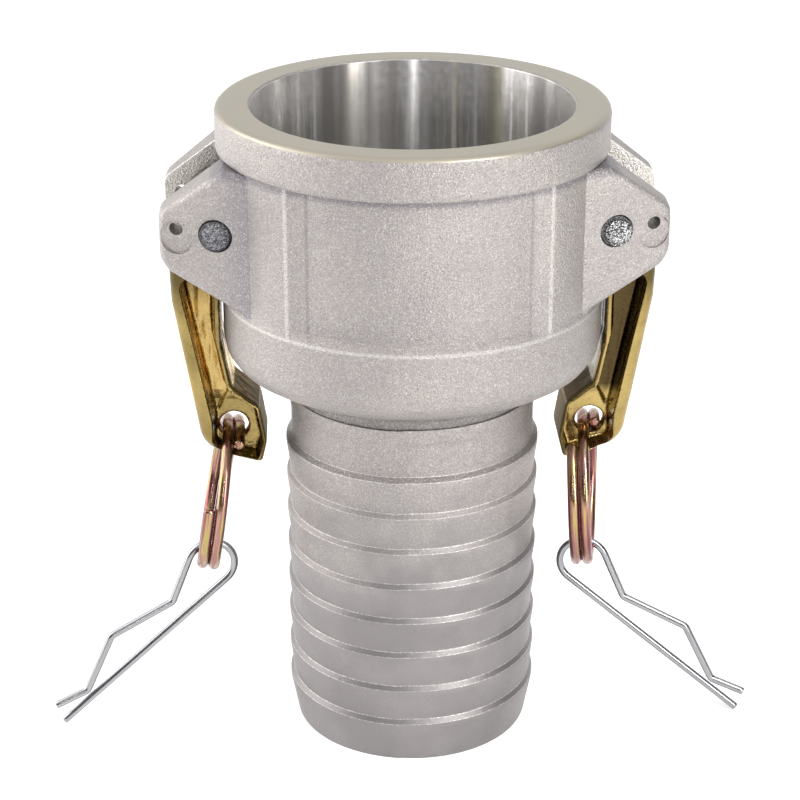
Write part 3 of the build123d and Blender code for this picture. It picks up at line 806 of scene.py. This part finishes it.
def ear_points(s, side_x, side_y):
    """One ear: a section across its thickness carried along X from inside the wall to the tip.

    At each x the section is a rectangle with rounded corners, from the gap's face to the flared outer face and from
    the lower to the upper edge of the ear's side outline. The outer face meets the wall in a small fillet and is
    rounded off at the tip, and the underside has a fillet on the wall.
    """
    start, inner_start, under_rim = 28 * MM, 34 * MM, s.top - s.rim_band
    upper = rounded([(27 * MM, under_rim), (37.1 * MM, under_rim), (s.ear_tip, 3.6 * MM), (s.ear_tip, -MM)],
                    [0.5 * MM, 2.5 * MM], 8)
    lower = rounded([(27 * MM, -16.2 * MM), (33 * MM, -16.2 * MM), (47.9 * MM, -8.3 * MM),
                     (s.ear_tip, -5.9 * MM), (s.ear_tip, -MM)], [MM, MM, 2 * MM], 8)
    before, after, tip_start = ear_corner(s) - 0.5 * MM, ear_corner(s) + 0.5 * MM, s.ear_tip - s.ear_round
    steps = ((start, before, 6), (before, after, 14), (after, tip_start, 26))
    x = np.concatenate([np.linspace(*step, endpoint=False) for step in steps])
    x = np.append(x, tip_start + (s.ear_round - 0.001 * MM) * np.sin(np.linspace(0, pi / 2, 12)))
    top, bottom = np.interp(x, *upper.T), np.interp(x, *lower.T)
    plane = s.ear_tip_half + tan(s.ear_flare) * (s.ear_tip - x)
    wall = np.sqrt(np.maximum(s.wall_radius**2 - x**2, 0)) - 0.04 * MM
    face = np.where(x < s.wall_radius, soft_max(plane, wall, 0.2 * MM), plane)
    tip = np.clip((x - s.ear_tip + s.ear_round) / s.ear_round, 0, 1)
    face = face - s.ear_round * (1 - np.sqrt(1 - tip**2)) * 0.8

    count, fine, arcs = 6, 0.3 * MM, []
    for a, b, radius, from_angle in (
        (0, 0, fine, -pi / 2), (0, 1, fine, pi), (1, 1, s.ear_round, pi / 2), (1, 0, s.ear_round, 0)
    ):
        turn = from_angle - np.linspace(0, pi / 2, count)
        shift_y, shift_z = radius * (np.cos(turn) + 1 - 2 * a), radius * (np.sin(turn) + 1 - 2 * b)
        arcs.append(np.stack([np.full(count, a), np.full(count, b), shift_y, shift_z], axis=-1))
    section = []
    for number, steps in enumerate((14, 12, 18, 12)):
        here, there = arcs[number][-1], arcs[(number + 1) % 4][0]
        section += [arcs[number], here + (there - here) * np.linspace(0, 1, steps)[1:-1, None]]
    a, b, shift_y, shift_z = np.vstack(section).T[:, None]

    y = s.ear_gap + (face[:, None] - s.ear_gap) * a + shift_y
    z = bottom[:, None] + (top - bottom)[:, None] * b + shift_z
    x = np.maximum(x[:, None], np.interp(a, [0, 1], [inner_start, start]))
    fillet = 1.2 * MM
    away = np.clip((np.hypot(x, y) - s.wall_radius) / fillet, 0, 1)
    z = z - np.where(b == 0, fillet * (1 - np.sqrt(1 - (1 - away) ** 2)), 0)
    y = y + 0.03 * MM * waves(x / (4 * MM), z / (4 * MM), 21)
    points = np.stack([side_x * x, side_y * y, z], axis=-1)
    return points if side_x * side_y < 0 else points[:, ::-1]


class COUPLER_OT_body(bpy.types.Operator):
    """Make the cast body with its ears, panels, barbs and machined bores"""

    bl_idname = "coupler.body"
    bl_label = "Cast body"

    def execute(self, context):
        s = context.scene.coupler_body
        finish = context.scene.coupler_finishes
        rows, zones = body_rows(s)
        panel_edge, strip_edge, longest = asin(s.panel_half / s.wall_radius), 0.614, radians(1.6)
        edges = np.array([0, pi / 2 - panel_edge, pi / 2 - strip_edge, pi / 2 + strip_edge, pi / 2 + panel_edge])
        turn = divided(np.concatenate([edges, edges + pi, [FULL_TURN]])[:, None], longest)[:-1, 0]
        casting = surface("coupler_casting", body_points(s, rows, turn), close_rows=True, zones=zones)
        ears, cutters, pin_hole_radius, through = [], [], 3.28 * MM, 22 * MM
        for side_x in (1, -1):
            for side_y in (1, -1):
                ears.append(surface("ear", ear_points(s, side_x, side_y), poles=(True, True)))
                reach = s.ear_tip_half + tan(s.ear_flare) * (s.ear_tip - s.clip_hole_x)
                middle = np.array([side_x * s.clip_hole_x, side_y * reach, s.clip_hole_z - s.spot_drop])
                outward = np.array([side_x * sin(s.ear_flare), side_y * cos(s.ear_flare), 0])
                spot = (middle - outward * s.spot_depth, middle + outward * 6 * MM)
                cutters.append(round_bar("spot", *spot, s.spot_radius))
            for name, x, z, half, radius in (
                ("slot", s.pivot_x, 0, s.ear_gap - 0.005 * MM, s.slot_radius),
                ("pin_hole", s.pivot_x, 0, through, pin_hole_radius),
                ("clip_hole", s.clip_hole_x, s.clip_hole_z, through, s.clip_hole_radius),
            ):
                cutters.append(round_bar(name, (side_x * x, -half, z), (side_x * x, half, z), radius, 72))
        materials = {
            CAST: cast_material(finish, s, "sand_cast_aluminium"),
            TURNED: machined_material(finish),
            BORED: bore_material(finish),
            # Barb edges: wear and painted highlights.
            WORN_AND_HIGHLIT: cast_material(finish, s, "scuffed_casting_edge", 1.25, 0.05),
            # Painted shade in the neck's groove.
            NECK_SHADE: cast_material(finish, s, "casting_crease", 0.62, 0.1),
            LEDGE: cast_material(finish, s, "barb_ledge", 0.86),
        }
        for zone in sorted(materials):
            for shell in (casting, *ears, *cutters):
                shell.data.materials.append(materials[zone])
        cut_and_join(casting, ears, cutters)
        casting.data.set_sharp_from_angle(angle=radians(38))
        dress(casting, "coupler", None, ["coupler_body"])
        return {"FINISHED"}


class COUPLER_OT_gasket(bpy.types.Operator):
    """Make the gasket in its groove"""

    bl_idname = "coupler.gasket"
    bl_label = "Gasket"

    def execute(self, context):
        s = context.scene.coupler_body
        inner, outer, low, high = 25.4 * MM, 33.35 * MM, s.seat, s.seat + 6.35 * MM
        middle, corner, flash_height, flash_half = (low + high) / 2, 0.6 * MM, 0.05 * MM, 0.3 * MM
        box = [(inner, middle), (inner, high), (outer, high), (outer, low), (inner, low), (inner, middle)]
        line = divided(rounded(box, [corner] * 4, 4)[::-1], MM)[:-1]
        turn = np.linspace(0, FULL_TURN, 160, endpoint=False)
        flash = flash_height * np.exp(-(((line[:, 1] - middle) / flash_half) ** 2))
        radius = (line[:, 0] - np.where(line[:, 0] < inner + 0.1 * MM, flash, 0))[:, None]
        points = np.stack([radius * np.cos(turn), radius * np.sin(turn), line[:, 1:] + 0 * turn], axis=-1)
        ring = surface("gasket_ring", points, close_rows=True)
        dress(ring, "coupler", rubber_material(context.scene.coupler_finishes), ["gasket"])
        return {"FINISHED"}


class COUPLER_OT_pins(bpy.types.Operator):
    """Make the two pivot pins with their knurled, peened ends"""

    bl_idname = "coupler.pins"
    bl_label = "Pivot pins"

    def execute(self, context):
        s = context.scene.coupler_pins
        body = context.scene.coupler_body
        half, plain, knurl, dome = s.half_length, s.radius - 0.02 * MM, s.knurl_radius, s.dome_radius
        turn = np.linspace(0, FULL_TURN, s.teeth * 8, endpoint=False)
        tooth = np.abs(((turn * s.teeth / FULL_TURN) % 1) - 0.5) * 2
        peened = [(plain, half - 0.6 * MM)]
        peened += [(r * MM, half - 0.3 * MM * (r / 3) ** 4) for r in (3.0, 2.6, 2.0, 1.2, 0.3)]
        knurled = [(knurl, half - 0.75 * MM), (knurl - 0.1 * MM, half - 0.55 * MM),
                   (dome + 0.2 * MM, half - 0.6 * MM), (dome, half - 0.9 * MM)]
        knurled += [(dome * r, half - 0.02 * MM - 0.6 * MM * r**3) for r in (0.99, 0.9, 0.75, 0.5, 0.1)]
        start = [(plain, 0.0), (plain, body.ear_gap), (knurl, body.ear_gap + 0.3 * MM)]
        knurl_end = [(knurl, half - 1.5 * MM), (plain, half - 1.2 * MM)]
        for side, name, front, shine in ((1, "right", knurled, 3.8), (-1, "left", [*knurl_end, *peened], 1.3)):
            rows = np.vstack([np.array(start + front)[:0:-1] * [1, -1], start + knurl_end + peened])
            radius = rows[:, :1] - np.where(rows[:, :1] > s.radius + 0.01 * MM, 0.3 * MM * tooth, 0)
            on_dome = (rows[:, 1:] < MM - half) & (rows[:, :1] < dome + 0.01 * MM) & (side > 0)
            shift = np.where(on_dome, s.dome_shift, 0)
            x = side * body.pivot_x + radius * np.sin(turn) + shift
            points = np.stack([x, rows[:, 1:] + 0 * turn, radius * np.cos(turn) - shift], axis=-1)
            pin = surface(f"pivot_pin_peened_{name}", points, poles=(True, True))
            material = pin_material(context.scene.coupler_finishes, f"peened_pin_steel_{name}", s, side, shine)
            pin.data.set_sharp_from_angle(angle=radians(35))
            dress(pin, "coupler", material, [f"pivot_pin_{name}"])
        return {"FINISHED"}


def forged_arm(s, side):
    """The arm's merged CAD mesh drawn over with a fine skin and relaxed, then forged round along its outer edge.

    A point nearer than r both to the handle's outer face and to its side face, by a and b, is drawn in until the
    length of (r - a, r - b) is r. A thin lip is then raised along the pocket: 0.2 mm times the bell curve of a.
    """
    blank = placed("blank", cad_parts[f"cam_arm_{side}"].data.copy())
    modify(blank, "WELD", merge_threshold=0.002 * MM)
    modify(blank, "REMESH", mode="VOXEL", voxel_size=0.28 * MM)
    modify(blank, "SMOOTH", factor=0.5, iterations=6)
    mesh = modified_mesh(blank)
    bpy.data.objects.remove(blank)
    points = np.empty(len(mesh.vertices) * 3, np.float32)
    mesh.vertices.foreach_get("co", points)
    points = points.reshape(-1, 3).astype(float)
    way = 1 if side == "right" else -1
    x, y, z = way * points[:, 0] - s.pivot_x, np.abs(points[:, 1]), points[:, 2]

    half = s.half_top - (s.half_top - s.half_bottom) * np.clip((s.heel - z) / (s.heel - s.toe), 0, 1)
    outer = rounded([(10.1 * MM, s.heel), (9.7 * MM, -18 * MM), (4.45 * MM, -50.4 * MM), (-7.5 * MM, s.toe)],
                    [0.1 * MM, 6 * MM], 10)
    start, run = outer[:-1, None], np.diff(outer, axis=0)[:, None]
    from_start = np.stack([x, z], axis=-1)[None] - start
    share = np.clip((from_start * run).sum(-1) / (run**2).sum(-1), 0, 1)
    gap = from_start - run * share[..., None]
    nearest = np.argmin((gap**2).sum(-1), axis=0)
    gap, run = gap[nearest, np.arange(len(x))], run[nearest, 0]
    outward = np.stack([-run[:, 1], run[:, 0]], axis=-1) / np.linalg.norm(run, axis=1)[:, None]
    a, b = -(gap * outward).sum(-1), half - y

    low = np.clip((x + 4 * MM) / (4 * MM), 0, 1) * np.clip((s.heel - z) / (3 * MM), 0, 1)
    radius = np.maximum(s.edge_round * low, 0.01 * MM)
    corner = np.stack([radius - a, radius - b], axis=-1)
    over = np.linalg.norm(corner, axis=1)
    touched = (corner > 0).all(axis=1) & (over > radius)
    corner = np.where(touched[:, None], corner * (radius / np.maximum(over, 1e-9))[:, None], corner)
    in_x, in_y = radius - corner[:, 0] - a, radius - corner[:, 1] - b
    bell = np.exp(-(((a - s.flange + 0.3 * MM) / (0.25 * MM)) ** 2)) * np.exp(-((b / (0.8 * MM)) ** 2))
    y = y - in_y + 0.2 * MM * bell * low
    x, z = x - outward[:, 0] * in_x, z - outward[:, 1] * in_x
    points = np.stack([way * (x + s.pivot_x), np.sign(points[:, 1]) * y, z], axis=-1)
    mesh.vertices.foreach_set("co", points.astype(np.float32).ravel())
    mesh.materials.clear()
    mesh.shade_smooth()
    return placed(f"cam_arm_forging_{side}", mesh)


class COUPLER_OT_arms(bpy.types.Operator):
    """Make the two cam arms as forgings with soft edges"""

    bl_idname = "coupler.arms"
    bl_label = "Cam arms"

    def execute(self, context):
        s = context.scene.coupler_arms
        finish = context.scene.coupler_finishes
        # Lit and shaded copies of one brass: the right arm's brass is painted lighter and its web painted dark as
        # painted shade; the left arm's web is painted bright as painted light.
        for side, painted_light_share, web_tone, crumpling in (
            ("left", 1.0, finish.crumpled_and_lit, 1.3), ("right", 1.3, toned(finish.patina_and_shade, 1.2), 0.3)
        ):
            brass = toned(finish.brass, painted_light_share)
            material = brass_material(finish, s, f"forged_brass_{side}", brass, web_tone, crumpling)
            dress(forged_arm(s, side), f"{side}_arm", material, [f"cam_arm_{side}"])
        return {"FINISHED"}


def ring_frame(s, clip, side):
    """Where one ring hangs, drawn for the right side: wire's foot, axis, wire's start, turning sense, loop's centre."""
    lean, twist = getattr(s, f"{side}_lean"), getattr(s, f"{side}_twist")
    end, shift = getattr(s, f"{side}_end"), getattr(clip, f"{side}_shift")
    hang = Vector((sin(lean), 0, -cos(lean)))
    axis = Vector((cos(lean), 0, sin(lean))) * cos(twist) - Vector((0, sin(twist), 0))
    centre = Vector((s.hole_x, 0, s.hole_z)) + hang * (s.drop + s.radius)
    sense = 1 if side == "right" else -1
    before_top, before_foot = end / FULL_TURN, (end + pi) % FULL_TURN / FULL_TURN
    inside = clip.loop - clip.wire - s.wire - clip.clearance
    seat = (inside**2 - (s.pitch / 2 + shift) ** 2) ** 0.5
    loop = centre + hang * (s.radius + seat) + axis * ((before_foot - before_top) * s.pitch - shift)
    start = Matrix.Rotation(-sense * end, 3, axis) @ (-hang)
    return centre - axis * (before_top + 0.5) * s.pitch, axis, start, sense, loop


class COUPLER_OT_rings(bpy.types.Operator):
    """Make the two split rings"""

    bl_idname = "coupler.rings"
    bl_label = "Split rings"

    def execute(self, context):
        s, clip = context.scene.coupler_rings, context.scene.coupler_clips
        material = ring_material(context.scene.coupler_finishes)
        for side, flip in (("right", 1), ("left", -1)):
            origin, axis, start, sense, _ = ring_frame(s, clip, side)
            turn = np.linspace(0, getattr(s, f"{side}_turns") * FULL_TURN, 260)[:, None]
            path = np.array(origin) + np.array(axis) * s.pitch * turn / FULL_TURN
            second = np.array(axis.cross(start))
            path = path + s.radius * (np.array(start) * np.cos(turn) + sense * second * np.sin(turn))
            ring = tube(f"split_ring_coil_{side}", path * [flip, 1, 1], s.wire, 28)
            dress(ring, f"{side}_ring", material, [f"split_ring_{side}"])
        return {"FINISHED"}


class COUPLER_OT_clips(bpy.types.Operator):
    """Make the two safety clips"""

    bl_idname = "coupler.clips"
    bl_label = "Safety clips"

    def execute(self, context):
        s, rings = context.scene.coupler_clips, context.scene.coupler_rings
        material = clip_material(context.scene.coupler_finishes)
        waist, crest, pinch, tip = np.array([(11.66, -0.74), (26.07, 2.78), (38.3, -3.25), (45.4, -1.0)]) * MM
        leave = atan2(waist[1], waist[0]) + acos(s.loop / hypot(*waist))
        arc = np.linspace(-pi / 2, leave - FULL_TURN, 40)
        loop = s.loop * np.stack([np.cos(arc), np.sin(arc)], axis=-1)
        bent = rounded([loop[-1], waist, crest, pinch, tip], [s.bend] * 3, 10)
        flat = divided(np.vstack([[(s.leg, -s.loop)], loop, bent[1:]]), 0.8 * MM)
        front, down = np.array([cos(s.turn), -sin(s.turn), 0]), np.array([0, 0, -1])
        plated = 1.04
        for side, flip in (("right", 1), ("left", -1)):
            *_, centre = ring_frame(rings, s, side)
            slope = getattr(s, f"{side}_slope")
            along, up = front * cos(slope) + down * sin(slope), front * sin(slope) - down * cos(slope)
            path = np.array(centre) + flat[:, :1] * along + flat[:, 1:] * up
            clip = tube(f"safety_clip_wire_{side}", path * [flip, 1, 1], s.wire * plated, 20)
            dress(clip, f"{side}_clip", material, [f"safety_clip_{side}"])
        return {"FINISHED"}


def floor_material():
    """Pale floor: matt for the light on the object, and lifted to white where it is seen, so that its shadow stays."""
    m = Recipe(bpy.data.materials.new("pale_floor"))
    path = m.node("LightPath")
    seen = m.maths("MAXIMUM", path["Is Camera Ray"], path["Is Glossy Ray"], path["Is Transmission Ray"])
    matt = m.node("BsdfDiffuse", {"Color": (0.8, 0.8, 0.8, 1)})[0]
    glow = m.node("Emission", {"Color": (*WHITE, 1), "Strength": 0.4})[0]
    lifted = m.node("AddShader", {0: matt, 1: glow})[0]
    m.node("OutputMaterial", {"Surface": m.node("MixShader", {0: seen, 1: matt, 2: lifted})[0]})
    return m.owner


def studio_world(s):
    """White where it is seen, and behind the object in its reflections; else light from behind and above.

    The reflections on the camera's side show the dim room there.
    """
    m = Recipe(bpy.data.worlds.new("studio"))
    path = m.node("LightPath")
    _, backwards, upwards = m.node("SeparateXYZ", {0: m.node("TexCoord")["Generated"]})
    behind, above = m.spread(backwards, 0.3, 0.85), m.spread(upwards, 0.55, 0.8)
    from_behind = m.spread(behind, 0, 1, s.room, s.backdrop)
    level = m.maths("MAXIMUM", from_behind, m.spread(above, 0, 1, 0, s.overhead))
    tone = m.mix(m.maths("MAXIMUM", behind, above), (0.94, 0.93, 1), (1, 0.985, 0.965))
    mirrored = m.product(path["Is Glossy Ray"], behind)
    seen = m.maths("MAXIMUM", path["Is Camera Ray"], path["Is Transmission Ray"], mirrored)
    soft = m.node("Background", {"Color": tone, "Strength": level})[0]
    white = m.node("Background", {"Color": (*WHITE, 1), "Strength": 1.0})[0]
    m.node("OutputWorld", {"Surface": m.node("MixShader", {0: seen, 1: soft, 2: white})[0]})
    return m.owner


class COUPLER_OT_stage(bpy.types.Operator):
    """Set the floor, the lamps, the world and the camera"""

    bl_idname = "coupler.stage"
    bl_label = "Stage"

    def execute(self, context):
        scene, s = context.scene, context.scene.coupler_stage
        across = np.linspace(-3, 3, 9)
        points = np.stack(np.meshgrid(across, across, [-scene.coupler_body.foot], indexing="ij"), axis=-1)[:, :, 0]
        floor = surface("floor", points[::-1], close_columns=False)
        floor.data.materials.append(floor_material())
        scene.world = studio_world(s)
        scene.view_settings.view_transform = "Standard"

        warm, cool = (1, 0.985, 0.96), (0.97, 0.98, 1)
        for name, place, size, power, tone in (
            ("left_softbox", (-0.58, 0.1, 0.2), (0.6, 0.7), s.left_lamp, warm),
            ("right_softbox", (0.38, -0.46, 0.3), (0.14, 0.8), s.right_lamp, warm),
            ("strip_light", (-0.046, -0.75, 0.31), (0.012, 0.35), s.strip_lamp, cool),
        ):
            lamp = bpy.data.lights.new(name, "AREA")
            lamp.shape = "RECTANGLE"
            lamp.size, lamp.size_y = size
            lamp.energy, lamp.color = power, tone
            holder = placed(name, lamp)
            holder.location = place
            holder.rotation_euler = (-Vector(place)).to_track_quat("-Z", "Y").to_euler()

        camera = placed("camera", bpy.data.cameras.new("camera"))
        camera.data.lens, camera.data.sensor_width, camera.data.clip_start = s.lens, 36, 0.01
        camera.location = s.camera
        camera.rotation_euler = Vector(s.aim).to_track_quat("-Z", "Y").to_euler()
        scene.camera = camera
        return {"FINISHED"}


class COUPLER_PT_panel(bpy.types.Panel):
    """Lists the steps of the coupler"""

    bl_idname = "COUPLER_PT_panel"
    bl_label = "Coupler"
    bl_space_type = "VIEW_3D"
    bl_region_type = "UI"
    bl_category = "Coupler"

    def draw(self, context):
        for operator in operators:
            self.layout.operator(operator.bl_idname)


operators = (
    COUPLER_OT_body,
    COUPLER_OT_gasket,
    COUPLER_OT_pins,
    COUPLER_OT_arms,
    COUPLER_OT_rings,
    COUPLER_OT_clips,
    COUPLER_OT_stage,
)
groups = {
    "coupler_body": CouplerBodySizes,
    "coupler_pins": PinSizes,
    "coupler_arms": ArmSizes,
    "coupler_rings": RingSizes,
    "coupler_clips": ClipSizes,
    "coupler_finishes": Finishes,
    "coupler_stage": StageSettings,
}


def register():
    for name, group in groups.items():
        bpy.utils.register_class(group)
        setattr(bpy.types.Scene, name, PointerProperty(type=group))
    for item in (*operators, COUPLER_PT_panel):
        bpy.utils.register_class(item)


def unregister():
    for item in reversed((*operators, COUPLER_PT_panel)):
        bpy.utils.unregister_class(item)
    for name, group in reversed(groups.items()):
        delattr(bpy.types.Scene, name)
        bpy.utils.unregister_class(group)


def main():
    """Build every piece."""
    register()
    bpy.ops.coupler.body()
    bpy.ops.coupler.gasket()
    bpy.ops.coupler.pins()
    bpy.ops.coupler.arms()
    bpy.ops.coupler.rings()
    bpy.ops.coupler.clips()
    bpy.ops.coupler.stage()


if __name__ == "__main__":
    main()
